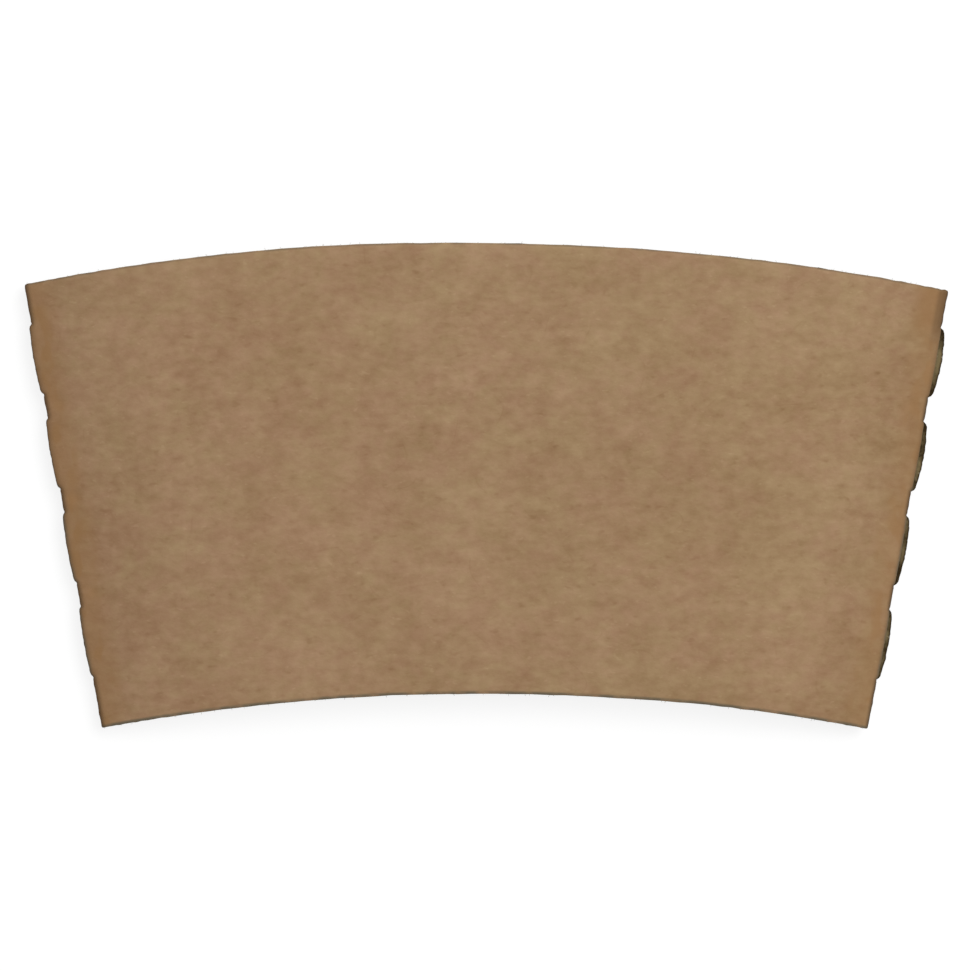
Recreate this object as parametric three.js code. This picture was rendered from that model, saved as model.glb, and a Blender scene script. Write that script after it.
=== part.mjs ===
// Takeaway coffee cup sleeve, glued into a ring and pressed flat.
//
// One curved strip of kraft board is wrapped into a ring, its two ends are glued over each other
// in a lap, and the ring is pressed flat along two perforated fold lines. It lies on its back
// panel, and the front panel springs up a little, as the folded board does out of the pack.
//
// Millimetres. X runs across the sleeve from fold to fold, Y from the narrow edge to the wide
// edge, and Z up. The origin is under the middle of the sleeve, on the surface it lies on.

import * as THREE from 'three';

// Panels, measured flat
const boardThickness = 1.0;
const wideEdgeWidth = 122.8;
const narrowEdgeWidth = 101.8;
const middleHeight = 60;
const wideEdgeRadius = 320;
const narrowEdgeRadius = 272;

// Folds and the spring of the board
const foldInnerRadius = 0.15;
const frontRiseAngle = THREE.MathUtils.degToRad(15);
const frontFlatness = 4;
const backRiseAngle = THREE.MathUtils.degToRad(6);
const backFlatShare = 0.6;

// Perforation along both folds
const slitLength = 9.5;
const tieLength = 3.2;
const wideEndMargin = 5.3;
const narrowEndMargin = 4;
const slitOpening = 0.6;

// How far a slit's loose lip stands out past the fold, at the wide end and at the narrow end
const rightLipReach = { wideEnd: 0.92, narrowEnd: 0.56 };
const leftLipReach = { wideEnd: 0.51, narrowEnd: 0.36 };
const rightLipStep = 0.52;
const leftLipStep = 0.62;

// Glued lap on the back panel
const lapWidth = 12;
const lapPlace = -0.3;
const lapRampLength = 8;

// Fineness of the mesh
const foldSegments = 4;
const frontSegments = 14;
const leftBackSegments = 4;
const rightBackSegments = 9;
const lapRampSegments = 4;
const slitRowPlaces = [0, 0.04, 0.14, 0.3, 0.5, 0.7, 0.86, 0.96, 1];

const kraftBrown = 0x9c7e5f;
const boardRoughness = 0.9;

// Values worked out from the sizes above
const foldOuterRadius = foldInnerRadius + boardThickness;
const foldMiddleRadius = foldInnerRadius + boardThickness / 2;
const wideHalf = arcLength(wideEdgeWidth / 2, wideEdgeRadius);
const narrowHalf = arcLength(narrowEdgeWidth / 2, narrowEdgeRadius);
const narrowEdgeSag = arcSag(narrowEdgeWidth / 2, narrowEdgeRadius);
const wideEdgeSag = arcSag(wideEdgeWidth / 2, wideEdgeRadius);
const planMiddle = (middleHeight - narrowEdgeSag) / 2;
const foldLength = Math.hypot(
  (wideEdgeWidth - narrowEdgeWidth) / 2,
  middleHeight - wideEdgeSag + narrowEdgeSag,
);

function arcLength(halfChord, radius) {
  return radius * Math.asin(halfChord / radius);
}

function arcSag(halfChord, radius) {
  return radius - Math.sqrt(radius * radius - halfChord * halfChord);
}

// Half the sleeve's width at a level, along the level's arc. Level 0 is the narrow edge and 1 the wide one.
function halfWidthAt(level) {
  return THREE.MathUtils.lerp(narrowHalf, wideHalf, level);
}

// The place seen from above of a point that lies a distance across from the middle line, at a level.
function planPoint(across, level) {
  const radius = THREE.MathUtils.lerp(narrowEdgeRadius, wideEdgeRadius, level);
  const angle = across / radius;
  const x = radius * Math.sin(angle);
  const y = middleHeight * level - radius * (1 - Math.cos(angle)) - planMiddle;
  return { x, y };
}

// The slits of one fold, as the levels of their two ends, for as many as fit between the margins.
function slitSpans() {
  const pitch = slitLength + tieLength;
  const room = foldLength - wideEndMargin - narrowEndMargin + tieLength;
  const count = Math.max(0, Math.floor(room / pitch));
  const spans = [];
  for (let index = 0; index < count; index += 1) {
    const fromWideEdge = wideEndMargin + index * pitch;
    const upper = 1 - fromWideEdge / foldLength;
    const lower = upper - slitLength / foldLength;
    spans.push({ lower, upper });
  }
  return spans.reverse();
}

// All levels that get a row of points: both edges, and the rows of each slit.
function rowLevels(spans) {
  const rows = [{ level: 0, place: null }];
  for (const span of spans) {
    for (const place of slitRowPlaces) {
      rows.push({ level: THREE.MathUtils.lerp(span.lower, span.upper, place), place });
    }
  }
  rows.push({ level: 1, place: null });
  return rows;
}

// How open a slit is at a place along it: a step at each end, then a low arch.
function openness(place, step) {
  const fromMiddle = 2 * place - 1;
  return step + (1 - step) * (1 - fromMiddle * fromMiddle);
}

// Lifts of the back panel's two faces where the strip's left end climbs onto its right end.
function lapAt(half) {
  const middle = lapPlace * half;
  return {
    rampStart: middle - lapWidth / 2 - lapRampLength,
    underEdge: middle - lapWidth / 2,
    upperEdge: middle + lapWidth / 2,
  };
}

// Shape of the sheet's middle surface at a level: folds, back panel and front panel.
function sectionAt(level) {
  const half = halfWidthAt(level);
  const foldCentre = half - foldOuterRadius;
  const backEnd = foldCentre + foldMiddleRadius * Math.sin(backRiseAngle);
  const frontEnd = foldCentre + foldMiddleRadius * Math.sin(frontRiseAngle);
  const backRun = backEnd * (1 - backFlatShare);
  const backRise = Math.tan(backRiseAngle) * backRun / 2;
  const frontRise = Math.tan(frontRiseAngle) * frontEnd / frontFlatness;
  const foldHeight = boardThickness / 2 + backRise + foldMiddleRadius * Math.cos(backRiseAngle);
  const frontTop = foldHeight + foldMiddleRadius * Math.cos(frontRiseAngle) + frontRise;

  function back(across) {
    const past = Math.max(0, Math.abs(across) - backEnd * backFlatShare) / backRun;
    const slope = Math.sign(across) * 2 * backRise * past / backRun;
    return { height: boardThickness / 2 + backRise * past * past, slope };
  }

  function front(across) {
    const share = Math.abs(across) / frontEnd;
    const slope = -Math.sign(across) * frontFlatness * frontRise * share ** (frontFlatness - 1) / frontEnd;
    return { height: frontTop - frontRise * share ** frontFlatness, slope };
  }

  return { foldCentre, foldHeight, backEnd, frontEnd, back, front, lap: lapAt(half) };
}

// A point of a panel's face, half a board above (side 1) or below (side -1) its middle surface.
function facePoint(panel, across, side) {
  const { height, slope } = panel(across);
  const length = Math.hypot(1, slope);
  const offset = side * boardThickness / 2;
  return { across: across - offset * slope / length, height: height + offset / length };
}

// A quarter of a fold, from one angle to another, on its outer or inner face. The weight grows
// from 0 at the panel to 1 at the fold's middle, and says how much of a lip's reach a point takes.
function foldPoints(section, side, radius, fromAngle, toAngle) {
  const points = [];
  for (let step = 0; step <= foldSegments; step += 1) {
    const share = step / foldSegments;
    const angle = THREE.MathUtils.lerp(fromAngle, toAngle, share);
    const weight = fromAngle === 0 ? 1 - share : share;
    points.push({
      across: side * (section.foldCentre + radius * Math.cos(angle)),
      height: section.foldHeight + radius * Math.sin(angle),
      weight: THREE.MathUtils.smoothstep(weight, 0, 1),
    });
  }
  return points;
}

// Even steps from one number to another, without the first.
function stepsBetween(from, to, count) {
  return Array.from({ length: count }, (_, index) => THREE.MathUtils.lerp(from, to, (index + 1) / count));
}

// The back panel's underside, from left to right, with the groove beside the lap's free edge.
function backUnderside(section) {
  const { rampStart, underEdge } = section.lap;
  const points = stepsBetween(-section.backEnd, rampStart, leftBackSegments)
    .map((across) => facePoint(section.back, across, -1));
  for (const across of stepsBetween(rampStart, underEdge, lapRampSegments)) {
    const point = facePoint(section.back, across, -1);
    point.height += boardThickness * THREE.MathUtils.smoothstep(across, rampStart, underEdge);
    points.push(point);
  }
  points.push(facePoint(section.back, underEdge, -1));
  for (const across of stepsBetween(underEdge, section.backEnd, rightBackSegments).slice(0, -1)) {
    points.push(facePoint(section.back, across, -1));
  }
  return points;
}

// The back panel's upper face, inside the ring, with the step at the end of the lap's upper layer.
function backUpperFace(section) {
  const { rampStart, underEdge, upperEdge } = section.lap;
  const points = stepsBetween(-section.backEnd, rampStart, leftBackSegments)
    .map((across) => facePoint(section.back, across, 1));
  for (const across of [...stepsBetween(rampStart, underEdge, lapRampSegments), upperEdge]) {
    const point = facePoint(section.back, across, 1);
    point.height += boardThickness * THREE.MathUtils.smoothstep(across, rampStart, underEdge);
    points.push(point);
  }
  points.push(facePoint(section.back, upperEdge, 1));
  for (const across of stepsBetween(upperEdge, section.backEnd, rightBackSegments - 1).slice(0, -1)) {
    points.push(facePoint(section.back, across, 1));
  }
  return points;
}

// The front panel's upper or under face, from right to left, with closer steps near the folds.
function frontFace(section, side) {
  const points = [];
  for (let step = 1; step < frontSegments; step += 1) {
    const turn = Math.PI / 2 * (1 - 2 * step / frontSegments);
    points.push(facePoint(section.front, section.frontEnd * Math.sin(turn), side));
  }
  return points;
}

// The back half of the section, from the left fold's middle to the right fold's middle.
function backPath(section, radius, panelPoints) {
  const start = backRiseAngle - Math.PI / 2;
  return [
    ...foldPoints(section, -1, radius, 0, start),
    ...panelPoints,
    ...foldPoints(section, 1, radius, start, 0),
  ];
}

// The front half of the section, from the right fold's middle to the left fold's middle.
function frontPath(section, radius, panelPoints) {
  const end = Math.PI / 2 - frontRiseAngle;
  return [
    ...foldPoints(section, 1, radius, 0, end),
    ...panelPoints,
    ...foldPoints(section, -1, radius, end, 0),
  ];
}

// Moves the points of a slit's lip outwards past the fold, and apart from the other lip.
function openLip(points, side, outward, upward) {
  for (const point of points) {
    if (point.weight && Math.sign(point.across) === side) {
      point.across += side * outward * point.weight;
      point.height += upward * point.weight;
    }
  }
}

// The four paths of one row. Inside a slit, the right fold's back lip and the left fold's front
// lip stand out, and all four lips part from each other.
function pathsAt(level, place) {
  const section = sectionAt(level);
  const paths = {
    backOuter: backPath(section, foldOuterRadius, backUnderside(section)),
    backInner: backPath(section, foldInnerRadius, backUpperFace(section)),
    frontOuter: frontPath(section, foldOuterRadius, frontFace(section, 1)),
    frontInner: frontPath(section, foldInnerRadius, frontFace(section, -1)),
  };
  if (isOpen(place)) {
    const rightReach = THREE.MathUtils.lerp(rightLipReach.narrowEnd, rightLipReach.wideEnd, level);
    const leftReach = THREE.MathUtils.lerp(leftLipReach.narrowEnd, leftLipReach.wideEnd, level);
    const right = openness(place, rightLipStep);
    const left = openness(place, leftLipStep);
    for (const points of [paths.backOuter, paths.backInner]) {
      openLip(points, 1, rightReach * right, -slitOpening * right / 2);
      openLip(points, -1, 0, -slitOpening * left / 2);
    }
    for (const points of [paths.frontOuter, paths.frontInner]) {
      openLip(points, 1, 0, slitOpening * right / 2);
      openLip(points, -1, leftReach * left, slitOpening * left / 2);
    }
  }
  return paths;
}

function isOpen(place) {
  return place !== null && place > 0 && place < 1;
}

// Collects vertices and triangles of one closed surface.
class Surface {
  constructor() {
    this.positions = [];
    this.indices = [];
  }

  vertex(point, level) {
    const { x, y } = planPoint(point.across, level);
    this.positions.push(x, y, point.height);
    return this.positions.length / 3 - 1;
  }

  quad(first, second, third, fourth) {
    this.indices.push(first, second, third, first, third, fourth);
  }

  geometry() {
    const geometry = new THREE.BufferGeometry();
    geometry.setAttribute('position', new THREE.Float32BufferAttribute(this.positions, 3));
    geometry.setIndex(this.indices);
    geometry.computeVertexNormals();
    return geometry;
  }
}

// Adds one row of vertices. Where no slit is open, the front and back paths share their ends.
function addRow(surface, level, place) {
  const paths = pathsAt(level, place);
  const row = { level, paths, open: isOpen(place) };
  for (const name of ['backOuter', 'backInner']) {
    row[name] = paths[name].map((point) => surface.vertex(point, level));
  }
  for (const [name, shared] of [['frontOuter', row.backOuter], ['frontInner', row.backInner]]) {
    const last = paths[name].length - 1;
    row[name] = paths[name].map((point, index) => {
      if (!row.open && index === 0) {
        return shared[shared.length - 1];
      }
      if (!row.open && index === last) {
        return shared[0];
      }
      return surface.vertex(point, level);
    });
  }
  return row;
}

// Joins two rows by the outer and inner faces of both paths.
function joinRows(surface, low, high) {
  for (const [outer, inner] of [['backOuter', 'backInner'], ['frontOuter', 'frontInner']]) {
    for (let index = 1; index < low[outer].length; index += 1) {
      surface.quad(low[outer][index - 1], high[outer][index - 1], high[outer][index], low[outer][index]);
    }
    for (let index = 1; index < low[inner].length; index += 1) {
      surface.quad(low[inner][index - 1], low[inner][index], high[inner][index], high[inner][index - 1]);
    }
  }
}

// Adds the cut faces of both folds' slits between two rows.
function joinCutFaces(surface, low, high) {
  for (const [outer, inner] of [['backOuter', 'backInner'], ['frontOuter', 'frontInner']]) {
    surface.quad(high[outer][0], low[outer][0], low[inner][0], high[inner][0]);
    surface.quad(low[outer].at(-1), high[outer].at(-1), high[inner].at(-1), low[inner].at(-1));
  }
}

// Closes the ring's section at the narrow edge (facing -1) or at the wide edge (facing 1).
function addEdgeFace(surface, row, facing) {
  const loop = (back, front) => [...row[back], ...row[front].slice(1, -1)];
  const outline = (back, front) => [...row.paths[back], ...row.paths[front].slice(1, -1)]
    .map((point) => new THREE.Vector2(point.across, point.height));
  const vertices = [...loop('backOuter', 'frontOuter'), ...loop('backInner', 'frontInner')];
  const outer = outline('backOuter', 'frontOuter');
  const inner = outline('backInner', 'frontInner');
  const corners = [...outer, ...inner];
  for (const [first, second, third] of THREE.ShapeUtils.triangulateShape(outer, [inner])) {
    const area = THREE.ShapeUtils.area([corners[first], corners[second], corners[third]]);
    const turned = Math.sign(area) === facing;
    surface.indices.push(vertices[first], vertices[turned ? third : second], vertices[turned ? second : third]);
  }
}

function sleeveGeometry() {
  const surface = new Surface();
  const rows = rowLevels(slitSpans()).map(({ level, place }) => addRow(surface, level, place));
  for (let index = 1; index < rows.length; index += 1) {
    joinRows(surface, rows[index - 1], rows[index]);
    if (rows[index - 1].open || rows[index].open) {
      joinCutFaces(surface, rows[index - 1], rows[index]);
    }
  }
  addEdgeFace(surface, rows[0], -1);
  addEdgeFace(surface, rows.at(-1), 1);
  return surface.geometry();
}

const board = new THREE.MeshStandardMaterial({ color: kraftBrown, roughness: boardRoughness, metalness: 0 });
const sleeve = new THREE.Mesh(sleeveGeometry(), board);
sleeve.name = 'sleeve';

const part = new THREE.Group();
part.add(sleeve);

export default part;
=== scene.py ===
# %% [markdown]
# # A coffee cup sleeve, pressed flat
#
# The sleeve is one strip of kraft board. It is die-cut on a curve, wrapped into a ring, glued along
# a lap and pressed flat for packing. Two perforated folds let it spring open around a cup.
# This lesson builds it in the same steps: first the frame that gives its real size, then the
# sheet, its folds and slits, its cut edges and loose fibres, and then the board's finish.

# %% The frame
import math
from types import SimpleNamespace

import bpy
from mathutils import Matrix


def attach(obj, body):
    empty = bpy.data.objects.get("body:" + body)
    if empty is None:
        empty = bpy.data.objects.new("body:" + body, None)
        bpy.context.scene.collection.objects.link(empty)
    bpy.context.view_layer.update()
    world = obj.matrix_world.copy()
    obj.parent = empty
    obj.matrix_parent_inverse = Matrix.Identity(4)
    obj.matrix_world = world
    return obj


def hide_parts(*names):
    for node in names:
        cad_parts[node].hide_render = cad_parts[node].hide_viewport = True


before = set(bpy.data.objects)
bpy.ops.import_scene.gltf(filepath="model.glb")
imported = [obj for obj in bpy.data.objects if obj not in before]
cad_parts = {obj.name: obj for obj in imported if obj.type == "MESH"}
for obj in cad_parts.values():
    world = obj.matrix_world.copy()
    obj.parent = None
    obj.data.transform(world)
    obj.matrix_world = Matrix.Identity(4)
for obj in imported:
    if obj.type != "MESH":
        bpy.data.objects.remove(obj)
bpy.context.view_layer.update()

# %% [markdown]
# ## Sizes of the sheet
#
# A designer draws the flat sleeve as two arcs joined by two straight folds. These few sizes drive
# everything that follows, in metres and radians, and they are the sizes of the solid in the frame.
# The reach of the slits' lips was read off the folds, where four slits stand out on each side.

# %% Driving sizes
MM = 0.001

SHEET = {
    "Board Thickness": 1.0 * MM,
    "Wide Edge Width": 122.8 * MM,
    "Narrow Edge Width": 101.8 * MM,
    "Middle Height": 60.0 * MM,
    "Wide Edge Radius": 320.0 * MM,
    "Narrow Edge Radius": 272.0 * MM,
    "Fold Inner Radius": 0.15 * MM,
    "Front Rise Angle": math.radians(15),
    "Back Rise Angle": math.radians(6),
    "Front Flatness": 4.0,
    "Back Flat Share": 0.6,
    "Slit Length": 9.5 * MM,
    "Tie Length": 3.2 * MM,
    "Wide End Margin": 5.3 * MM,
    "Slit Opening": 0.6 * MM,
    "Right Lip Reach Wide": 1.08 * MM,
    "Right Lip Reach Narrow": 0.72 * MM,
    "Right Front Lip Reach": 0.2 * MM,
    "Left Lip Reach Wide": 0.6 * MM,
    "Left Lip Reach Narrow": 0.45 * MM,
    "Lap Width": 12.0 * MM,
    "Lap Place": -0.3,
    "Lap Ramp Length": 8.0 * MM,
    "Glue Gap": 0.02 * MM,
    "Edge Crush": 0.22,
}
SLITS = 4
RIGHT_LIP_STEP = 0.52
LEFT_LIP_STEP = 0.62


def sag(width, radius):
    """How far an arc's middle stands out past its chord."""
    return radius - math.sqrt(radius * radius - width * width / 4)


wide_sag = sag(SHEET["Wide Edge Width"], SHEET["Wide Edge Radius"])
narrow_sag = sag(SHEET["Narrow Edge Width"], SHEET["Narrow Edge Radius"])
fold_run = (SHEET["Wide Edge Width"] - SHEET["Narrow Edge Width"]) / 2
FOLD_LENGTH = math.hypot(fold_run, SHEET["Middle Height"] - wide_sag + narrow_sag)
PLAN_MIDDLE = (SHEET["Middle Height"] - narrow_sag) / 2
print("fold length:", round(FOLD_LENGTH / MM, 2), "mm")

# %% [markdown]
# ## Writing node trees as expressions
#
# Blender's node trees are sums and products of sockets. One small class wraps an output socket,
# so that a Python expression adds the Math nodes by itself, and one method adds any other node.
# Geometry trees and shader trees share both, so the shape and the finish read the same way.

# %% A socket that does arithmetic


class Wire:
    """An output socket. Each operator adds one Math node to the tree and returns its output."""

    def __init__(self, tree, socket):
        self.tree = tree
        self.socket = socket

    def math(self, operation, *others):
        return self.tree.node("ShaderNodeMath", {"operation": operation}, [self, *others])

    def __add__(self, other):
        return self.math("ADD", other)

    def __sub__(self, other):
        return self.math("SUBTRACT", other)

    def __mul__(self, other):
        return self.math("MULTIPLY", other)

    def __truediv__(self, other):
        return self.math("DIVIDE", other)

    def __pow__(self, other):
        return self.math("POWER", other)

    def __rsub__(self, other):
        return self.tree.node("ShaderNodeMath", {"operation": "SUBTRACT"}, [other, self])

    def __abs__(self):
        return self.math("ABSOLUTE")

    def __gt__(self, other):
        return self.math("GREATER_THAN", other)

    def __lt__(self, other):
        return self.math("LESS_THAN", other)

    __radd__ = __add__
    __rmul__ = __mul__

    def limited(self, low=0.0, high=1.0):
        return self.math("MAXIMUM", low).math("MINIMUM", high)

    def smooth(self, low=0.0, high=1.0):
        share = ((self - low) / (high - low)).limited()
        return share * share * (3 - 2 * share)

    def towards(self, other, share):
        return self + (other - self) * share


print("a wire's own methods:", [name for name in vars(Wire) if not name.startswith("__")])

# %% [markdown]
# The other half is the tree itself. Its node() method takes any node type, so that nothing else in
# the lesson has to know how Blender makes nodes and links.

# %% A tree that adds nodes


class Tree:
    """A node tree. node() takes a node's type, its settings, and the values or links of its sockets."""

    def __init__(self, tree):
        self.tree = tree

    @staticmethod
    def pick(sockets, key):
        ready = [socket for socket in sockets if socket.enabled]
        if isinstance(key, int):
            return ready[key]
        return next(socket for socket in ready if key in (socket.name, socket.identifier))

    def feed(self, socket, value):
        for item in value if isinstance(value, list) else [value]:
            if isinstance(item, Wire):
                self.tree.links.new(item.socket, socket)
            else:
                socket.default_value = item

    def node(self, kind, settings=None, sockets=None, output=0):
        node = self.tree.nodes.new(kind)
        for name, value in (settings or {}).items():
            setattr(node, name, value)
        pairs = enumerate(sockets) if isinstance(sockets, list) else (sockets or {}).items()
        for key, value in pairs:
            self.feed(self.pick(node.inputs, key), value)
        if not node.outputs:
            return node
        return Wire(self, self.pick(node.outputs, output))

    def other(self, wire, output):
        """Another output of the node that a wire comes from."""
        return Wire(self, self.pick(wire.socket.node.outputs, output))


print("a tree's methods:", [name for name in vars(Tree) if not name.startswith("__")])

# %% [markdown]
# ## A geometry tree with named inputs
#
# A Geometry Nodes tree is a recipe, and its inputs are the recipe's sizes. The modifier that runs it
# takes each value by the socket's identifier. The result becomes a plain mesh at once, because the
# export needs meshes that no modifier changes any more.

# %% Running a geometry tree


def geometry_tree(name, sizes):
    group = bpy.data.node_groups.new(name, "GeometryNodeTree")
    group.interface.new_socket("Geometry", in_out="OUTPUT", socket_type="NodeSocketGeometry")
    group.interface.new_socket("Geometry", in_out="INPUT", socket_type="NodeSocketGeometry")
    for label, value in sizes.items():
        kind = "NodeSocketInt" if isinstance(value, int) else "NodeSocketFloat"
        group.interface.new_socket(label, in_out="INPUT", socket_type=kind)
    tree = Tree(group)
    entry = tree.node("NodeGroupInput")
    inputs = {label: tree.other(entry, label) for label in ["Geometry", *sizes]}
    print(name, "has the inputs:", list(inputs))
    return tree, inputs


def run_tree(name, tree, sizes, start=None):
    """Runs a tree on an object of its own through a modifier, and returns the object."""
    mesh = start.copy() if start else bpy.data.meshes.new(name)
    piece = bpy.data.objects.new(name, mesh)
    bpy.context.scene.collection.objects.link(piece)
    modifier = piece.modifiers.new("recipe", "NODES")
    modifier.node_group = tree.tree
    for item in tree.tree.interface.items_tree:
        if item.item_type == "SOCKET" and item.in_out == "INPUT" and item.name in sizes:
            modifier[item.identifier] = sizes[item.name]
    return piece


def make_plain(piece):
    """Turns an object's modifiers into its mesh."""
    ready = piece.evaluated_get(bpy.context.evaluated_depsgraph_get())
    mesh = bpy.data.meshes.new_from_object(ready)
    piece.modifiers.clear()
    piece.data = mesh
    mesh.name = piece.name
    mesh.calc_loop_triangles()
    print(piece.name, "has", len(mesh.loop_triangles), "triangles")
    return piece


# %% [markdown]
# ## The strip as columns and rows
#
# The strip is a grid. Its columns run round the ring: from the lap's lower end, over the right half
# of the back, round the right fold, across the front, round the left fold and back to the lap.
# Its rows run from the wide edge to the narrow one, spaced so that each slit starts and ends on a row.

# %% Columns round the ring and rows along the folds
STRETCHES = {
    "right_back": 36,
    "right_fold_back": 8,
    "right_fold_front": 8,
    "front": 88,
    "left_fold_front": 8,
    "left_fold_back": 8,
    "left_back": 14,
    "ramp": 10,
    "lap": 8,
}
COLUMNS = sum(STRETCHES.values())
SLIT_ROWS = 30
PITCH_ROWS = 40

pitch = SHEET["Slit Length"] + SHEET["Tie Length"]
row_step = pitch / PITCH_ROWS
FIRST_SLIT_ROW = math.ceil(SHEET["Wide End Margin"] / row_step)
LAST_SLIT_ROW = FIRST_SLIT_ROW + (SLITS - 1) * PITCH_ROWS + SLIT_ROWS
ROWS = FIRST_SLIT_ROW + math.ceil((FOLD_LENGTH - SHEET["Wide End Margin"]) / row_step)
print("columns:", COLUMNS, "rows:", ROWS)


def column_of(name):
    """The column where a stretch starts."""
    names = list(STRETCHES)
    return sum(STRETCHES[earlier] for earlier in names[: names.index(name)])


RIGHT_CREASE = column_of("right_fold_front")
LEFT_CREASE = column_of("left_fold_back")
print("creases at columns", RIGHT_CREASE, "and", LEFT_CREASE)


def stretch_shares(column):
    """How far a column lies through each stretch, from 0 to 1."""
    shares = {}
    for name, count in STRETCHES.items():
        shares[name] = ((column - column_of(name)) / count).limited()
    return SimpleNamespace(**shares)


# %% [markdown]
# ## The section across the ring
#
# Cut across, the flat ring is a low lens: a back panel that is flat in the middle and lifts towards
# the folds, a front panel that the folds push up, and two tight bends. Each stretch has a plain
# formula, and a mask picks the one that holds for a column. The same formulas serve both faces of
# the board: a side of 1 gives the outer face, and -1 the inner one, half a thickness away.

# %% Lengths of the section at a level


def section_lengths(size, level):
    """The section's lengths at a level, which is 0 at the narrow edge and 1 at the wide one."""
    wide_turn = (size["Wide Edge Width"] / 2 / size["Wide Edge Radius"]).math("ARCSINE")
    narrow_turn = (size["Narrow Edge Width"] / 2 / size["Narrow Edge Radius"]).math("ARCSINE")
    wide = wide_turn * size["Wide Edge Radius"]
    narrow = narrow_turn * size["Narrow Edge Radius"]
    half = narrow.towards(wide, level)
    thickness = size["Board Thickness"]
    bend = size["Fold Inner Radius"] + thickness / 2
    centre = half - size["Fold Inner Radius"] - thickness
    front_angle = size["Front Rise Angle"]
    back_angle = size["Back Rise Angle"]
    back_end = centre + bend * back_angle.math("SINE")
    front_end = centre + bend * front_angle.math("SINE")
    back_run = back_end * (1 - size["Back Flat Share"])
    back_rise = back_angle.math("TANGENT") * back_run / 2
    front_rise = front_angle.math("TANGENT") * front_end / size["Front Flatness"]
    height = thickness / 2 + back_rise + bend * back_angle.math("COSINE")
    lap_middle = half * size["Lap Place"]
    under_edge = lap_middle - size["Lap Width"] / 2
    return SimpleNamespace(
        thickness=thickness, bend=bend, centre=centre, height=height,
        front_turn=math.pi / 2 - front_angle, back_turn=math.pi / 2 - back_angle,
        back_end=back_end, back_run=back_run, back_rise=back_rise, front_end=front_end,
        front_rise=front_rise, front_top=height + bend * front_angle.math("COSINE") + front_rise,
        under_edge=under_edge, ramp_start=under_edge - size["Lap Ramp Length"],
        upper_edge=lap_middle + size["Lap Width"] / 2,
    )


print("arcs drop by", round(wide_sag / MM, 2), "mm and", round(narrow_sag / MM, 2), "mm at their ends")

# %% [markdown]
# A panel's point lies half a thickness off its middle surface, square to it. The folds are arcs
# round two centres, so a fold's point needs only its angle.

# %% The three kinds of stretch


def face_point(across, height, slope, offset):
    """A point of a panel's face, a distance off its middle surface, square to it."""
    length = (slope * slope + 1).math("SQRT")
    return across - offset * slope / length, height + offset / length


def back_point(size, part, shares, left, side):
    """The back panel, with the lift where its left end climbs onto its right end."""
    right_across = part.under_edge.towards(part.back_end, shares.right_back)
    left_across = (part.ramp_start + part.back_end) * shares.left_back - part.back_end
    left_across += (part.under_edge - part.ramp_start) * shares.ramp
    left_across += (part.upper_edge - part.under_edge) * shares.lap
    across = right_across.towards(left_across, left)
    past_flat = abs(across) - part.back_end * size["Back Flat Share"]
    past = past_flat.math("MAXIMUM", 0.0) / part.back_run
    slope = across.math("SIGN") * past * part.back_rise * 2 / part.back_run
    lift = (part.thickness + size["Glue Gap"]) * shares.ramp.smooth()
    height = part.thickness / 2 + part.back_rise * past * past
    across, height = face_point(across, height, slope, side * part.thickness * -0.5)
    return across, height + lift


def front_point(size, part, shares, side):
    """The front panel, flat in the middle and turned down near the folds."""
    turn = (1 - shares.front * 2) * (math.pi / 2)
    across = part.front_end * turn.math("SINE")
    share = abs(across) / part.front_end
    flatness = size["Front Flatness"]
    steepness = share ** (flatness - 1) * part.front_rise * flatness / part.front_end
    slope = across.math("SIGN") * steepness * -1
    height = part.front_top - part.front_rise * share ** flatness
    return face_point(across, height, slope, side * part.thickness * 0.5)


def fold_angle(part, shares, left):
    """The direction from a fold's centre: 0 at the crease, less on the back, more on the front."""
    right = part.front_turn * shares.right_fold_front - part.back_turn * (1 - shares.right_fold_back)
    other = part.front_turn * (1 - shares.left_fold_front) - part.back_turn * shares.left_fold_back
    return right.towards(other, left)


print("the front rises by", round(math.degrees(SHEET["Front Rise Angle"])), "degrees at the folds")

# %% [markdown]
# ## Slits and their lips
#
# The folds are weakened by slits with short ties between them. Bent over, the board stays straight
# inside a slit, so its lips part and one of them stands out past the fold: the back one on the right
# and the front one on the left. The grid is split along the crease there, and the lips are moved by
# a formula: a shoulder at each end of the slit, then a low arch, with a little noise for torn fibres.

# %% Where a row lies in its slit
SHOULDER_ROWS = 2.6
LIP_NICK = 0.2 * MM
FOLD_WANDER = 0.25 * MM
NICKS_PER_ROW = 0.6
WANDERS_PER_ROW = 0.25
NOISE_MEAN = 0.5
CREASE_FALLOFF = 4
NOISE_PLACES = {"front_lip": 31, "left": 57, "wander": 90, "edge": 9}
# Columns and rows are whole numbers, so a share of one tells two neighbours apart.
BETWEEN = 0.4


def uneven(tree, across, along):
    """Soft noise round zero over two numbers."""
    place = tree.node("ShaderNodeCombineXYZ", {}, [across, along])
    settings = {"noise_dimensions": "2D"}
    noise = tree.node("ShaderNodeTexNoise", settings, {"Vector": place, "Scale": 1.0})
    return noise - NOISE_MEAN


def slit_place(row):
    """Rows past the start of a slit, and whether the row belongs to one at all."""
    past = (row - FIRST_SLIT_ROW).math("FLOORED_MODULO", PITCH_ROWS)
    among = (row > FIRST_SLIT_ROW - BETWEEN) * (row < LAST_SLIT_ROW + BETWEEN)
    return past, among


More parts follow.
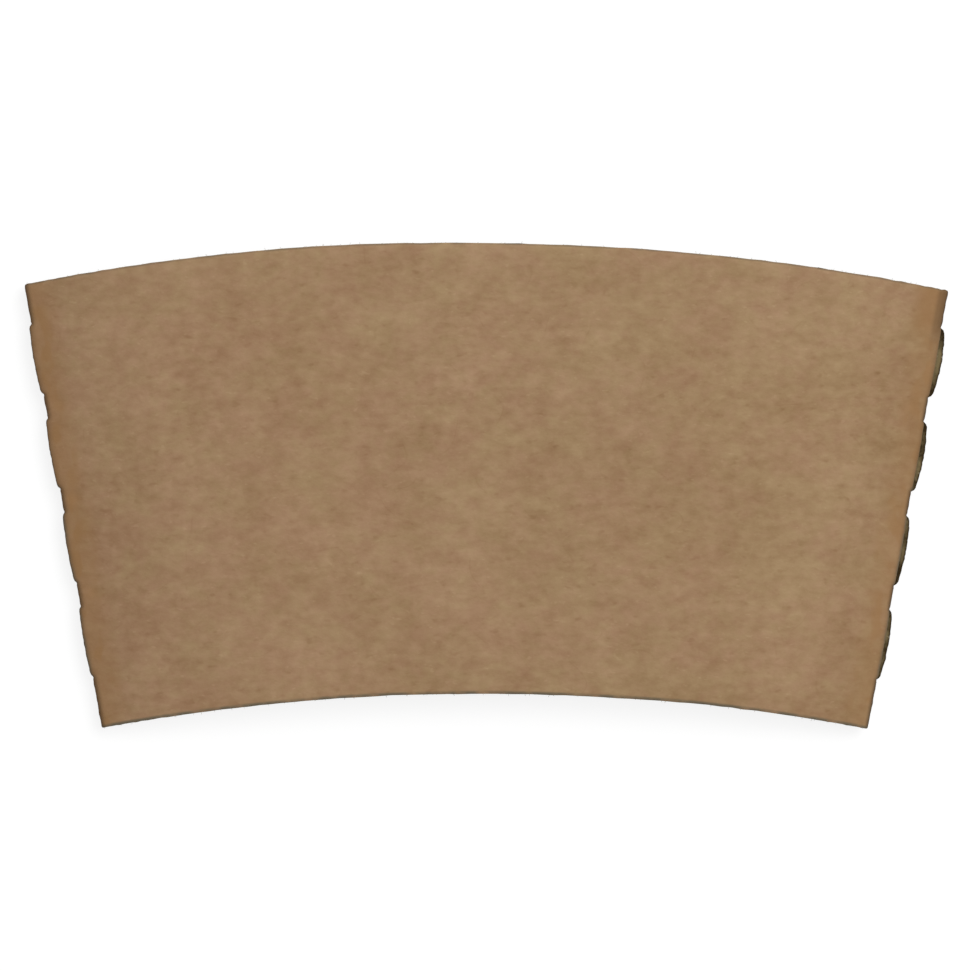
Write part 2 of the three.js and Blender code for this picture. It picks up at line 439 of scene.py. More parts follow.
def openness(row, step):
    """How open a slit is at a row: 0 at its ends, a shoulder, then an arch of the given step."""
    past, among = slit_place(row)
    inside = among * (past < SLIT_ROWS + BETWEEN)
    to_end = (SLIT_ROWS - past).math("MINIMUM", past).math("MAXIMUM", 0.0)
    short = 1 - (to_end / SHOULDER_ROWS).limited()
    shoulder = (1 - short * short).math("SQRT")
    from_middle = past * (2 / SLIT_ROWS) - 1
    return inside * shoulder * (step + (1 - step) * (1 - from_middle * from_middle))


def on_left_half(column):
    return column > (column_of("front") + STRETCHES["front"] / 2)


def crease_weight(shares):
    """1 at a crease and 0 where its fold ends."""
    right = shares.right_fold_back - shares.right_fold_front
    return right + shares.left_fold_front - shares.left_fold_back


def lip_shift(tree, size, column, row, level, shares, front_lip):
    """How far a lip's point moves outwards and upwards."""
    left = on_left_half(column)
    share = crease_weight(shares)
    weight = share.smooth()
    right_open = openness(row, RIGHT_LIP_STEP)
    left_open = openness(row, LEFT_LIP_STEP)
    at_crease = share ** CREASE_FALLOFF
    lip_place = front_lip * NOISE_PLACES["front_lip"] + left * NOISE_PLACES["left"]
    nick = uneven(tree, row * NICKS_PER_ROW, lip_place) * at_crease * LIP_NICK
    right_reach = size["Right Lip Reach Narrow"].towards(size["Right Lip Reach Wide"], level)
    left_reach = size["Left Lip Reach Narrow"].towards(size["Left Lip Reach Wide"], level)
    right_reach = right_reach.towards(size["Right Front Lip Reach"], front_lip)
    right_out = right_open * (right_reach * weight + nick)
    left_out = left_open * (left_reach * front_lip * weight + nick)
    apart = right_open.towards(left_open, left) * weight * size["Slit Opening"] / 2
    out = right_out.towards(left_out, left)
    fold_place = left * NOISE_PLACES["left"] + NOISE_PLACES["wander"]
    out += uneven(tree, row * WANDERS_PER_ROW, fold_place) * at_crease * FOLD_WANDER
    return out, apart * (front_lip * 2 - 1)


print(SLITS, "slits in rows", FIRST_SLIT_ROW, "to", LAST_SLIT_ROW)

# %% [markdown]
# ## The sheet itself
#
# The tree starts from a flat grid and stores each point's column and row on it. It splits the
# creases inside the slits, gives the sheet its thickness by extruding it, and then moves every point
# to its place at once. Storing the columns and rows first is what lets one formula place the points
# after the split and the extrusion, which add points of their own.

# %% The recipe for the sheet


def stored(tree, name):
    settings = {"data_type": "FLOAT"}
    return tree.node("GeometryNodeInputNamedAttribute", settings, {"Name": name}, "Attribute")


def store(tree, geometry, name, value, domain="POINT", kind="FLOAT"):
    return tree.node(
        "GeometryNodeStoreNamedAttribute", {"data_type": kind, "domain": domain},
        {"Geometry": geometry, "Name": name, "Value": value},
    )


def row_level(size, row):
    """The level of a row. Rows are evenly spaced from the first slit, and the end ones are cut short."""
    from_wide = (size["Slit Length"] + size["Tie Length"]) / PITCH_ROWS * (row - FIRST_SLIT_ROW)
    return (1 - (from_wide + size["Wide End Margin"]) / FOLD_LENGTH).limited()


def flat_grid(tree):
    """A grid of the strip, with each point's column and row stored on it."""
    counts = {"Vertices X": COLUMNS + 1, "Vertices Y": ROWS + 1}
    grid = tree.node("GeometryNodeMeshGrid", {}, {"Size X": 1.0, "Size Y": 1.0, **counts}, "Mesh")
    place = tree.node("ShaderNodeSeparateXYZ", {}, [tree.other(grid, "UV Map")])
    geometry = store(tree, grid, "column", (place * COLUMNS).math("ROUND"))
    return store(tree, geometry, "row", ((1 - tree.other(place, "Y")) * ROWS).math("ROUND"))


def split_slits(tree, geometry):
    """Splits the creases inside the slits, and stores which points belong to a front lip."""
    column = stored(tree, "column")
    past, among = slit_place(stored(tree, "row"))
    on_right = abs(column - RIGHT_CREASE) < BETWEEN
    on_left = abs(column - LEFT_CREASE) < BETWEEN
    cut = (on_right + on_left) * among * (past < SLIT_ROWS)
    geometry = tree.node("GeometryNodeSplitEdges", {}, {"Mesh": geometry, "Selection": cut})
    beside = tree.node("GeometryNodeFieldOnDomain", {"domain": "FACE", "data_type": "FLOAT"}, [column])
    toward_front = (column > RIGHT_CREASE + BETWEEN) * (column < LEFT_CREASE - BETWEEN)
    on_front = on_right * (beside > column) + on_left * (beside < column)
    return store(tree, geometry, "front_lip", toward_front + on_front)


# The extrusion needs some thickness to start with. The formula then sets the real one.
FIRST_THICKNESS = 0.01


def thicken(tree, sheet):
    """Gives the sheet a second face and cut faces between the two, all facing out."""
    solid = tree.node(
        "GeometryNodeExtrudeMesh", {"mode": "FACES"},
        {"Mesh": sheet, "Offset Scale": FIRST_THICKNESS, "Individual": False}, "Mesh",
    )
    inner = tree.other(solid, "Top")
    cut = tree.other(solid, "Side")
    solid = store(tree, solid, "inner", inner)
    solid = store(tree, solid, "cut_face", cut, "FACE")
    base = tree.node("GeometryNodeFlipFaces", {}, {"Mesh": sheet})
    return tree.node("GeometryNodeJoinGeometry", {}, [[base, solid]])


print("the grid has", (COLUMNS + 1) * (ROWS + 1), "points before it is split and thickened")

# %% [markdown]
# ## Signs of handling
#
# The cut edges are crushed a little, the front panel waves by half a millimetre, and the ties pull
# shallow dents into it beside the folds. Each of these is one more term in the formula.

# %% Small signs of handling
CRUSH_RUN = 0.25 * MM
EDGE_WANDER = 0.3 * MM
FRONT_WAVE = 0.5 * MM
WAVE_SIZE = 20 * MM
WAVE_FALLOFF = 4
DENT_DEPTH = {"left": 0.14 * MM, "right": 0.06 * MM}
DENT_PLACE = 1.9 * MM
DENT_SIZE = 1.3 * MM


def tie_dent(row, to_crease, left):
    """The shallow dents of the front panel, beside the ties that hold it to the back."""
    past, among = slit_place(row)
    tie_middle = (SLIT_ROWS + PITCH_ROWS) / 2
    along = abs(past - tie_middle) * pitch / PITCH_ROWS
    apart = (along * along + (to_crease - DENT_PLACE) * (to_crease - DENT_PLACE)).math("SQRT")
    depth = left * (DENT_DEPTH["left"] - DENT_DEPTH["right"]) + DENT_DEPTH["right"]
    return among * (1 - (apart / DENT_SIZE).smooth()) * depth


print("dents are up to", round(DENT_DEPTH["left"] / MM, 2), "mm deep")

# %% [markdown]
# The next cell puts the pieces together. It also keeps a few distances, such as the way to the
# nearest cut, because the board's finish is darker there.

# %% The place of every point


def sheet_position(tree, size):
    """The finished place of a point, and the distances that the board's finish needs."""
    column = stored(tree, "column")
    row = stored(tree, "row")
    level = row_level(size, row)
    shares = stretch_shares(column)
    part = section_lengths(size, level)
    left = on_left_half(column)
    before_left_fold = column < column_of("left_fold_front") - BETWEEN
    in_front = (column > column_of("front") + BETWEEN) * before_left_fold
    on_right_back = column < column_of("right_fold_back") - BETWEEN
    in_back = on_right_back + (column > column_of("left_back") + BETWEEN)
    in_fold = 1 - in_front - in_back
    angle = fold_angle(part, shares, left)
    middle_surface = in_front * 0
    flat_front = front_point(size, part, shares, middle_surface)[0]
    flat_back = back_point(size, part, shares, left, middle_surface)[0]
    flat = flat_front * in_front + flat_back * in_back + part.centre * in_fold
    to_crease = abs(angle) * part.bend + (part.centre - abs(flat)).math("MAXIMUM", 0.0)
    to_edge = (1 - level).math("MINIMUM", level) * FOLD_LENGTH
    past, among = slit_place(row)
    in_slit = among * (past < SLIT_ROWS + BETWEEN)
    to_cut = to_edge.math("MINIMUM", to_crease + (1 - in_slit) * FOLD_LENGTH)
    crush = (1 - to_cut.smooth(0.0, CRUSH_RUN)) * size["Edge Crush"]
    side = (1 - stored(tree, "inner") * 2) * (1 - crush)
    back_across, back_height = back_point(size, part, shares, left, side)
    front_across, front_height = front_point(size, part, shares, side)
    wave = uneven(tree, flat / WAVE_SIZE, level * (FOLD_LENGTH / WAVE_SIZE)) * FRONT_WAVE
    dent = tie_dent(row, to_crease, left) * in_front
    front_height += wave * (1 - (abs(flat) / part.front_end) ** WAVE_FALLOFF) - dent
    reach = part.bend + side * part.thickness / 2
    outward = 1 - left * 2
    out, up = lip_shift(tree, size, column, row, level, shares, stored(tree, "front_lip"))
    fold_across = outward * (part.centre + reach * angle.math("COSINE") + out)
    fold_height = part.height + reach * angle.math("SINE") + up
    across = back_across * in_back + front_across * in_front + fold_across * in_fold
    height = back_height * in_back + front_height * in_front + fold_height * in_fold
    kept = {
        "to_cut": to_cut, "to_crease": to_crease, "to_edge": to_edge,
        "dent": dent / DENT_DEPTH["left"], "slit": openness(row, 1.0), "lobe": openness(row, 0.0),
    }
    return across, height, level, kept


print("dents lie", round(DENT_PLACE / MM, 1), "mm from the creases")

# %% [markdown]
# Seen from above, the rows bend into arcs. The die cut the right half a little short, so a small
# trim draws both rims in there, and noise keeps the cut lines from being quite even.

# %% The sleeve in plan
TRIM_MARGIN = 0.1
WIDE_TRIM = 0.36 * MM
NARROW_TRIM = 0.26 * MM
WIDE_TRIM_ENDS = (-30 * MM, 10 * MM)
NARROW_TRIM_ENDS = (10 * MM, 32 * MM)


def edge_trim(across, level):
    """How far the die cut the right half short, at the wide edge and at the narrow one."""
    wide_margin = ((level - 1 + TRIM_MARGIN) / TRIM_MARGIN).limited()
    narrow_margin = ((TRIM_MARGIN - level) / TRIM_MARGIN).limited()
    wide = across.smooth(*WIDE_TRIM_ENDS) * wide_margin * WIDE_TRIM
    narrow = across.smooth(*NARROW_TRIM_ENDS) * narrow_margin * NARROW_TRIM
    return narrow - wide


def plan_position(tree, size, across, height, level):
    """Bends the rows into arcs, as the sleeve is seen from above."""
    radius = size["Narrow Edge Radius"].towards(size["Wide Edge Radius"], level)
    turn = across / radius
    x = radius * turn.math("SINE")
    y = size["Middle Height"] * level - radius * (1 - turn.math("COSINE")) - PLAN_MIDDLE
    near_end = 1 - ((1 - level).math("MINIMUM", level) * (FOLD_LENGTH / CRUSH_RUN)).limited()
    noise_place = stored(tree, "inner") + level * NOISE_PLACES["edge"]
    y += uneven(tree, across * (1 / MM), noise_place) * EDGE_WANDER * near_end
    return tree.node("ShaderNodeCombineXYZ", {}, [x, y + edge_trim(across, level), height])


print("rows bend round arcs of", round(SHEET["Wide Edge Radius"] / MM), "mm and less")

# %% [markdown]
# Last comes the recipe that calls all of these in their order. Edges that turn by more than the
# sharp angle keep a crisp line, and all others are shaded smooth.

# %% The whole recipe
SHARP_ANGLE = math.radians(38)
MERGE_DISTANCE = 0.001 * MM


def sheet_tree(board, raw_edge):
    tree, size = geometry_tree("pressed_sheet", SHEET)
    geometry = thicken(tree, split_slits(tree, flat_grid(tree)))
    across, height, level, kept = sheet_position(tree, size)
    for name, value in kept.items():
        geometry = store(tree, geometry, name, value)
    place = plan_position(tree, size, across, height, level)
    geometry = tree.node("GeometryNodeSetPosition", {}, {"Geometry": geometry, "Position": place})
    geometry = tree.node(
        "GeometryNodeMergeByDistance", {}, {"Geometry": geometry, "Distance": MERGE_DISTANCE}
    )
    geometry = tree.node("GeometryNodeSetShadeSmooth", {"domain": "FACE"}, {"Geometry": geometry})
    soft = tree.node("GeometryNodeInputMeshEdgeAngle") < SHARP_ANGLE
    geometry = tree.node(
        "GeometryNodeSetShadeSmooth", {"domain": "EDGE"}, {"Geometry": geometry, "Shade Smooth": soft}
    )
    geometry = tree.node("GeometryNodeRealizeInstances", {}, {"Geometry": geometry})
    geometry = tree.node("GeometryNodeSetMaterial", {}, {"Geometry": geometry, "Material": board})
    geometry = tree.node(
        "GeometryNodeSetMaterial", {},
        {"Geometry": geometry, "Selection": stored(tree, "cut_face"), "Material": raw_edge},
    )
    tree.node("NodeGroupOutput", {}, [geometry])
    return tree


# %% [markdown]
# ## The board's finish
#
# Kraft board is unbleached pulp. Its face is a calm brown with soft clouds, where the fibres lie
# more or less dense, short dark and light flecks along the machine's direction, and a few longer
# curved fibres. All of it is weak, so each layer changes the brown by a few hundredths only.

# %% Helpers for a finish
BOARD_ROUGHNESS = 0.9
BOARD_SPECULAR = 0.25
SHADE_GAINS = (1.0, 1.3, 1.6)
SEED_STEPS = (17.3, 5.1, 9.7)


def begin_finish(name):
    material = bpy.data.materials.new(name)
    material.use_nodes = True
    tree = Tree(material.node_tree)
    shader = material.node_tree.nodes["Principled BSDF"]
    shader.inputs["Roughness"].default_value = BOARD_ROUGHNESS
    shader.inputs["Specular IOR Level"].default_value = BOARD_SPECULAR
    place = tree.node("ShaderNodeTexCoord", {}, {}, "Object")
    return material, tree, shader, place


def attribute(tree, name):
    return tree.node("ShaderNodeAttribute", {"attribute_name": name}, {}, "Fac")


def grain(tree, place, size, stretch=1.0, detail=2.0, seed=0):
    """Noise round zero with grains of a size in metres, stretched along the sleeve."""
    spread = (1 / (size * stretch), 1 / size, 1 / size)
    apart = tuple(seed * step for step in SEED_STEPS)
    moved = tree.node("ShaderNodeVectorMath", {"operation": "MULTIPLY_ADD"}, [place, spread, apart])
    noise = tree.node("ShaderNodeTexNoise", {}, {"Vector": moved, "Scale": 1.0, "Detail": detail})
    return noise - NOISE_MEAN


def grains_of(tree, place, table):
    return {name: grain(tree, place, *values) for name, values in table.items()}


def weighted(parts, weights):
    """The sum of named parts, each times its weight."""
    return sum(parts[name] * weight for name, weight in weights.items())


def picked(share, off, on):
    """The first value where a share is 0 and the second where it is 1."""
    return share * (on - off) + off


def near(distance, limits):
    """1 next to a line of the sheet, fading to 0 between two distances in millimetres."""
    start, end = limits
    return 1 - distance.smooth(start * MM, end * MM)


def mix(tree, share, first, second):
    sockets = {"Factor": share, "A": first, "B": second}
    return tree.node("ShaderNodeMix", {"data_type": "RGBA"}, sockets, "Result")


def dim(tree, colour, level):
    return tree.node("ShaderNodeVectorMath", {"operation": "SCALE"}, {"Vector": colour, "Scale": level})


def shade(tree, colour, change):
    """Lightens or darkens a brown. Pulp turns redder as it turns darker, so blue changes most."""
    settings = {"operation": "MULTIPLY_ADD"}
    gains = tree.node("ShaderNodeVectorMath", settings, [change, SHADE_GAINS, (1, 1, 1)])
    return tree.node("ShaderNodeVectorMath", {"operation": "MULTIPLY"}, [colour, gains])


def rough_surface(tree, shader, height, depth):
    bump = tree.node("ShaderNodeBump", {}, {"Height": height, "Distance": depth, "Strength": 1.0})
    tree.feed(shader.inputs["Normal"], bump)


print("board roughness:", BOARD_ROUGHNESS)

# %% [markdown]
# ### What varies on the kraft face
#
# Brightness and hue have clouds of their own. One table holds the grains, each with its size, its
# stretch along the sleeve, its detail and its seed. The others say how far from a fold or an edge
# a change reaches, and how much each part changes the brown. Some of these changes are painted shade
# and painted light.

# %% Tables of the kraft face
KRAFT_GRAINS = {
    "patches": (9.0 * MM, 1.2, 3, 1),
    "clouds": (2.4 * MM, 1.25, 3, 2),
    "flow": (0.95 * MM, 1.6, 2, 3),
    "dust": (0.3 * MM, 1.5, 1, 4),
    "tint": (6.0 * MM, 1.2, 4, 15),
    "fine_tint": (1.3 * MM, 1.2, 2, 16),
    "dark_flecks": (0.85 * MM, 1.7, 1, 5),
    "light_flecks": (0.55 * MM, 1.8, 1, 6),
    "curls": (5.0 * MM, 1.2, 0, 7),
    "curl_places": (4.0 * MM, 1.0, 1, 8),
    "stain": (4.0 * MM, 0.5, 2, 9),
    "line": (1.4 * MM, 1.6, 3, 10),
}
# A fleck or a stain shows only where its noise passes these two values.
SHOWS = {
    "dark_flecks": (0.1, 0.34),
    "light_flecks": (0.16, 0.3),
    "curl_places": (0.06, 0.14),
    "stain": (-0.02, 0.16),
}
CURL_WIDTH = 0.018
# Distances in millimetres, where a change next to a crease, an edge or a cut starts to fade and ends.
# The fold reach is that of a painted shade beside the folds, and the dark reach that of a painted shade
# along the creases.
CREASE_REACH = {
    "fold": (0.6, 12.0),
    "stain": (0.8, 4.5),
    "dark": (0.2, 0.75),
    "worn_corner": (2.2, 5.0),
    "dark_corner": (0.5, 1.5),
}
# The first two reaches are painted light along the wide edge and painted shade along the narrow edge.
EDGE_REACH = {
    "painted_lit_rim": (0.4, 2.2),
    "painted_shaded_rim": (0.5, 6.0),
    "worn_corner": (4.5, 9.5),
    "wide_line": (0.3, 0.6),
}
CUT_REACH = (0.1, 0.36)
# The fold and right fold changes are painted shade beside the folds, and the two rim changes are painted
# light along the wide edge and painted shade along the narrow edge. The worn corner is wear.
SHADES = {
    "patches": 0.26,
    "clouds": 0.34,
    "flow": 0.33,
    "dust": 0.06,
    "light_flecks": 0.1,
    "dark_flecks": -0.11,
    "curls": -0.05,
    "painted_lit_rim": 0.05,
    "painted_shaded_rim": -0.035,
    "fold": -0.055,
    "right_fold": -0.02,
    "worn_corner": -0.03,
}
ROSE_SHARES = {"tint": 2.4, "fine_tint": 1.5, "clouds": -0.6}
ROSE_PER_METRE = 3.5
print("the kraft face has", len(KRAFT_GRAINS), "grains and", len(SHADES), "changes of brightness")

# %% [markdown]
# The grains come first, by name, and then the places near the folds and the edges. The wide half is
# the one with the longer edge, and its right corner is the most handled one. The darkening beside the
# folds and along the narrow edge and the lightening along the wide edge are painted shade and painted
# light.

# %% Parts of the kraft face


def kraft_grains(tree, place):
    grains = grains_of(tree, place, KRAFT_GRAINS)
    for name, limits in SHOWS.items():
        grains[name] = grains[name].smooth(*limits)
    curls = 1 - (abs(grains["curls"]) / CURL_WIDTH).smooth()
    grains["curls"] = curls * grains["curl_places"]
    return grains


# The worn corner is wear. The rest is painted shade beside the folds and along the narrow edge, and
# painted light along the wide edge.
def worn_and_shaded_places(to_crease, to_edge, on_right, on_wide_half):
    fold = near(to_crease, CREASE_REACH["fold"])
    corner = near(to_edge, EDGE_REACH["worn_corner"]) * on_right * on_wide_half
    return {
        "fold": fold,
        "right_fold": fold * on_right,
        "worn_corner": corner * near(to_crease, CREASE_REACH["worn_corner"]),
        "painted_lit_rim": near(to_edge, EDGE_REACH["painted_lit_rim"]) * on_wide_half * (1 - fold),
        "painted_shaded_rim": near(to_edge, EDGE_REACH["painted_shaded_rim"]) * (1 - on_wide_half),
    }


# The folds and the rims carry painted shade and painted light, and only the corner is wear.
print("handled places: the folds, the rims and the wide edge's right corner")

# %% [markdown]
# ### Colouring the kraft face
#
# The colour is built up in this order: hue and brightness, with painted shade beside the folds and the
# narrow edge and painted light along the wide edge, then the stain at the folds with a painted shade in
# the dents, then a painted shade along the creases, and last a thin painted shade along each cut, where
# the crushed face rounds away from the light.

# %% The kraft face
KRAFT_OCHRE = (0.332, 0.216, 0.1105, 1)
KRAFT_ROSE = (0.342, 0.206, 0.1155, 1)
KRAFT_STAIN = (0.295, 0.160, 0.066, 1)
# The colour of the painted shade along the cuts.
CUT_EDGE_SHADE = (0.140, 0.112, 0.072, 1)
MIDDLE_HUE = 0.5
STAIN_PATCHES = 0.4
STAIN_LEAST = {"left": 0.48, "right": 0.35}
CORNER_STAIN = 0.7
DENT_PAINTED_SHADE = 0.55
CREASE_SHADE = {"left": 0.38, "right": 0.68}
CORNER_DARKNESS = 0.42
LIP_RELIEF = 0.6
CUT_SHADE_WIDTH = {"wide": 1.0, "narrow": 1.55}
LINE_STEADY = 0.8
LINE_CHANGE = 3.0
WIDE_CUT_SHADE_RELIEF = 0.45
DUST_HEIGHT = 0.6
FACE_BUMP = 0.02 * MM


def stained_and_dent_shaded(tree, colour, grains, wear_and_shade, to_crease, on_right):
    least = picked(on_right, STAIN_LEAST["left"], STAIN_LEAST["right"])
    stain = (grains["stain"] * STAIN_PATCHES + least) * near(to_crease, CREASE_REACH["stain"])
    stain = stain.math("MAXIMUM", wear_and_shade["worn_corner"] * CORNER_STAIN)
    colour = mix(tree, stain, colour, KRAFT_STAIN)
    # The dents are darkened with the stain's brown, a painted shade in their hollows.
    return mix(tree, (attribute(tree, "dent") * DENT_PAINTED_SHADE).limited(), colour, KRAFT_STAIN)


# A painted shade along the creases, where the fold turns away from the light. It is stronger on the
# right fold and weaker at the front lips. Near the worn corner the crease is darker from wear.
def crease_shade_and_wear(tree, colour, wear_and_shade, to_crease, on_right):
    at_lip = attribute(tree, "slit") * attribute(tree, "front_lip")
    darkness = picked(on_right, CREASE_SHADE["left"], CREASE_SHADE["right"])
    crease = near(to_crease, CREASE_REACH["dark"]) * darkness * (1 - at_lip * LIP_RELIEF)
    corner = near(to_crease, CREASE_REACH["dark_corner"]) * wear_and_shade["worn_corner"] * CORNER_DARKNESS
    return dim(tree, colour, 1 - crease.math("MAXIMUM", corner))


# A thin painted shade along every cut, where the crushed edge rounds away from the light. It is wider
# along the narrow edge, which faces away from the light, and fainter along the wide edge.
def cut_edge_shaded(tree, colour, grains, to_cut, to_edge, on_wide_half):
    width = picked(on_wide_half, CUT_SHADE_WIDTH["narrow"], CUT_SHADE_WIDTH["wide"])
    at_wide_edge = near(to_edge, EDGE_REACH["wide_line"]) * on_wide_half
    strength = (grains["line"] * LINE_CHANGE + LINE_STEADY).limited()
    line = near(to_cut / width, CUT_REACH) * strength * (1 - at_wide_edge * WIDE_CUT_SHADE_RELIEF)
    return mix(tree, line, colour, CUT_EDGE_SHADE)


def kraft_face():
    material, tree, shader, place = begin_finish("kraft_face")
    to_crease = attribute(tree, "to_crease")
    to_edge = attribute(tree, "to_edge")
    across = tree.node("ShaderNodeSeparateXYZ", {}, [place])
    on_right = across > 0.0
    on_wide_half = tree.other(across, "Y") > 0.0
    grains = kraft_grains(tree, place)
    wear_and_shade = worn_and_shaded_places(to_crease, to_edge, on_right, on_wide_half)

    rose = weighted(grains, ROSE_SHARES) - across * ROSE_PER_METRE + MIDDLE_HUE
    colour = mix(tree, rose.limited(), KRAFT_OCHRE, KRAFT_ROSE)
    # Brightness: the grains and the worn corner, with painted shade beside the folds and the narrow edge
    # and painted light along the wide edge.
    colour = shade(tree, colour, weighted({**grains, **wear_and_shade}, SHADES))
    # The stain at the folds and at the worn corner, and a painted shade in the dents.
    colour = stained_and_dent_shaded(tree, colour, grains, wear_and_shade, to_crease, on_right)
    # A painted shade along the creases, and the worn corner's darker crease.
    colour = crease_shade_and_wear(tree, colour, wear_and_shade, to_crease, on_right)
    # A thin painted shade along the cuts.
    colour = cut_edge_shaded(tree, colour, grains, attribute(tree, "to_cut"), to_edge, on_wide_half)
    tree.feed(shader.inputs["Base Color"], colour)
    rough_surface(tree, shader, grains["dust"] * DUST_HEIGHT + grains["flow"], FACE_BUMP)
    print("kraft_face has", len(material.node_tree.nodes), "nodes")
    return material


# %% [markdown]
# ### The raw edge
#
# A cut face shows the board's darker core between its two plies. Inside a slit the shade is painted:
# its cut faces are coloured nearly black, a paler olive towards the middle of each lip, and torn pale
# flecks stand out against the dark.

# %% The raw edge
EDGE_CORE = (0.115, 0.078, 0.040, 1)
EDGE_PLY = (0.215, 0.155, 0.084, 1)
SLIT_PAINTED_SHADE = (0.036, 0.023, 0.009, 1)
SLIT_LIT_OLIVE = (0.215, 0.163, 0.080, 1)
EDGE_FLECK = (0.42, 0.35, 0.24, 1)
RAW_EDGE_SPECULAR = 0.05
RAW_GRAINS = {
    "torn": (0.55 * MM, 1.2, 2, 11),
    "flecks": (0.75 * MM, 0.7, 2, 12),
    "stretches": (3.2 * MM, 1.0, 2, 21),
}
PLY_LIMITS = (0.62, 0.95)
PLY_TEAR = 2.0
LIGHT_SHARES = {"lobe": 0.8, "stretches": 3.0, "torn": 1.2}
SHADED_RIM = 0.5
FLECK_LIMITS = (0.09, 0.19)
FLECK_PLACES = 8.0
FLECK_LEAST = 0.1
FLECK_SHARE = 0.85
END_REACH = (0.2, 0.5)
EDGE_BUMP = 0.06 * MM


def raw_edge_face():
    material, tree, shader, place = begin_finish("raw_edge")
    shader.inputs["Specular IOR Level"].default_value = RAW_EDGE_SPECULAR
    grains = grains_of(tree, place, RAW_GRAINS)
    grains["lobe"] = attribute(tree, "lobe")
    through = attribute(tree, "inner")
    ply = (abs(through - 0.5) * 2).smooth(*PLY_LIMITS)
    end = mix(tree, (ply + grains["torn"] * PLY_TEAR).limited(), EDGE_CORE, EDGE_PLY)
    # Painted light on a slit's cut faces: most towards the middle of each lip, none at the slit's ends,
    # and painted shade towards the board's outer face.
    light = weighted(grains, LIGHT_SHARES).limited() * through.smooth(0.0, SHADED_RIM)
    slit = mix(tree, light, SLIT_PAINTED_SHADE, SLIT_LIT_OLIVE)
    colour = mix(tree, near(attribute(tree, "to_edge"), END_REACH), slit, end)
    fleck_places = (grains["stretches"] * FLECK_PLACES + FLECK_LEAST).limited()
    flecks = grains["flecks"].smooth(*FLECK_LIMITS) * fleck_places * FLECK_SHARE
    tree.feed(shader.inputs["Base Color"], mix(tree, flecks, colour, EDGE_FLECK))
    rough_surface(tree, shader, grains["torn"], EDGE_BUMP)
    print("raw_edge has", len(material.node_tree.nodes), "nodes")
    return material


# %% [markdown]
# ## The pressed sleeve
#
# The recipe now runs once, with the sizes as its inputs, and its result stands in for the solid.

# %% The sleeve
sleeve = make_plain(run_tree("kraft_sleeve", sheet_tree(kraft_face(), raw_edge_face()), SHEET))
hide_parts("sleeve")
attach(sleeve, "root")

# %% [markdown]
# ## Loose fibres
#
# A steel rule cuts board by crushing it apart, and single fibres stay standing at the cut faces,
# most of all along the slits. A second tree scatters points on the cut faces and sets a short bent
# fibre on each, turned and scaled at random from a fixed seed.

# %% Fibres on the cut faces
FIBRES = {
    "Fibre Length": 0.26 * MM,
    "Fibre Thickness": 0.03 * MM,
    "Fibres Per Square Metre": 0.8e6,
    "Slit Share": 1.0,
    "Seed": 11,
}
FIBRE_CLEARANCE = 0.4 * MM
FIBRE_BROWN = (0.26, 0.18, 0.10)
FIBRE_GRAIN = 0.8 * MM
FIBRE_LEVEL = 0.85
FIBRE_CHANGE = 2.0
# Three points of a fibre's bow, as shares of its length. The first lies inside the board.
FIBRE_BOW = [(0.0, 0.0, -0.2), (0.15, 0.0, 0.4), (0.6, 0.15, 0.75)]
FIBRE_SIDES = 5
FIBRE_SCALES = (0.35, 1.25)
FIBRE_LEAN = 0.7
RIM_WIDTH = 0.5 * MM


def fibre_finish():
    material, tree, shader, place = begin_finish("torn_fibre")
    tone = grain(tree, place, FIBRE_GRAIN, seed=14)
    level = FIBRE_LEVEL + tone * FIBRE_CHANGE
    tree.feed(shader.inputs["Base Color"], dim(tree, FIBRE_BROWN, level))
    return material


def one_fibre(tree, size):
    length = size["Fibre Length"]
    bow = []
    for shares in FIBRE_BOW:
        bow.append(tree.node("ShaderNodeCombineXYZ", {}, [length * share for share in shares]))
    curve = tree.node("GeometryNodeCurveQuadraticBezier", {}, [FIBRE_SIDES, *bow])
    radius = size["Fibre Thickness"] / 2
    ring = tree.node(
        "GeometryNodeCurvePrimitiveCircle", {}, {"Resolution": FIBRE_SIDES, "Radius": radius}
    )
    return tree.node(
        "GeometryNodeCurveToMesh", {}, {"Curve": curve, "Profile Curve": ring, "Fill Caps": True}
    )


def cut_points(tree, size):
    """Points on the cut faces, denser along the slits."""
    in_slit = stored(tree, "to_edge") > RIM_WIDTH
    density = size["Fibres Per Square Metre"] * (1 + in_slit * size["Slit Share"])
    sockets = {
        "Mesh": size["Geometry"], "Selection": stored(tree, "cut_face"),
        "Seed": size["Seed"], "Density": density,
    }
    return tree.node("GeometryNodeDistributePointsOnFaces", {}, sockets, "Points")


